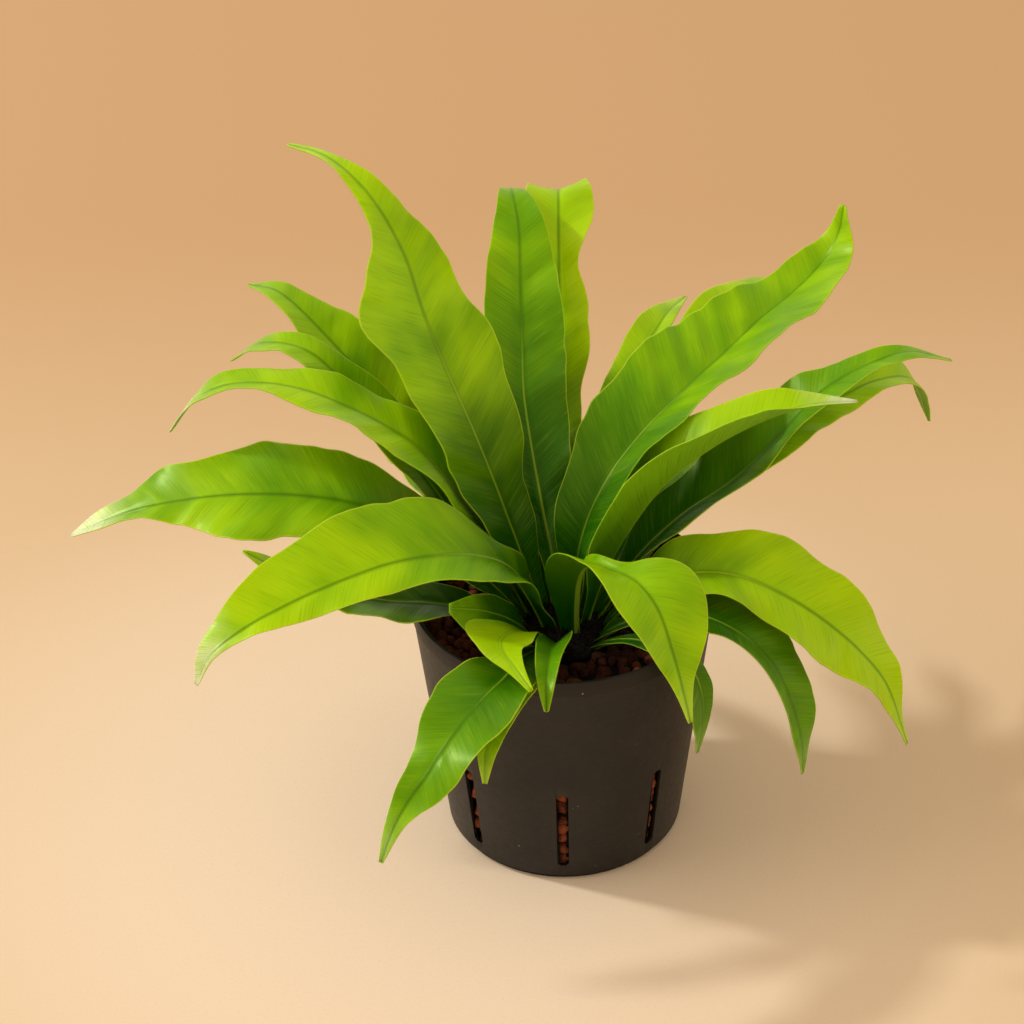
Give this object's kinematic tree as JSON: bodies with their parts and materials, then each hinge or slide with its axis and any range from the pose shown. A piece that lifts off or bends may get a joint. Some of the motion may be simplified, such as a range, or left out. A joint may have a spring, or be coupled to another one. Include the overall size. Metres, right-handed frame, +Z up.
{
  "type": "potted nest fern",
  "caption": "Small nest fern with waved strap-like fronds rising from a crown in a round slotted black plastic pot filled with clay granules.",
  "frame": {"origin": "centre of the underside of the pot, on the floor that the pot stands on", "axes": "+Z up along the pot's axis, front of the plant (the side in the picture) toward -Y, +X to the viewer's right"},
  "size_m": [0.3776, 0.3039, 0.2839],
  "materials": {
    "leaf": "satin green leaf with a pale margin and fine side veins",
    "crown": "dark fibrous stem",
    "pot": "black moulded plastic, faintly dusty",
    "clay": "rough fired clay granules"
  },
  "bodies": {
    "root": {"pot": "pot", "clay_granules": "clay", "crown": "crown", "frond_tall_left": "leaf", "frond_upper_left_1": "leaf", "frond_upper_left_2": "leaf", "frond_upper_left_3": "leaf", "frond_left_wide": "leaf", "frond_left_under": "leaf", "frond_front_left_wide": "leaf", "frond_tall_middle": "leaf", "frond_tall_middle_back": "leaf", "frond_tall_right": "leaf", "frond_back_right_1": "leaf", "frond_back_right_2": "leaf", "frond_right_folded": "leaf", "frond_right_long": "leaf", "frond_right_under": "leaf", "frond_right_low": "leaf", "frond_right_hanging": "leaf", "frond_front_right": "leaf", "frond_rim_right": "leaf", "frond_front_lobed": "leaf", "frond_front_pointed": "leaf", "frond_front_left_low": "leaf", "frond_front_small": "leaf", "frond_front_curled": "leaf", "frond_back_1": "leaf", "frond_back_2": "leaf", "frond_back_3": "leaf", "frond_back_4": "leaf"}
  },
  "joints": []
}
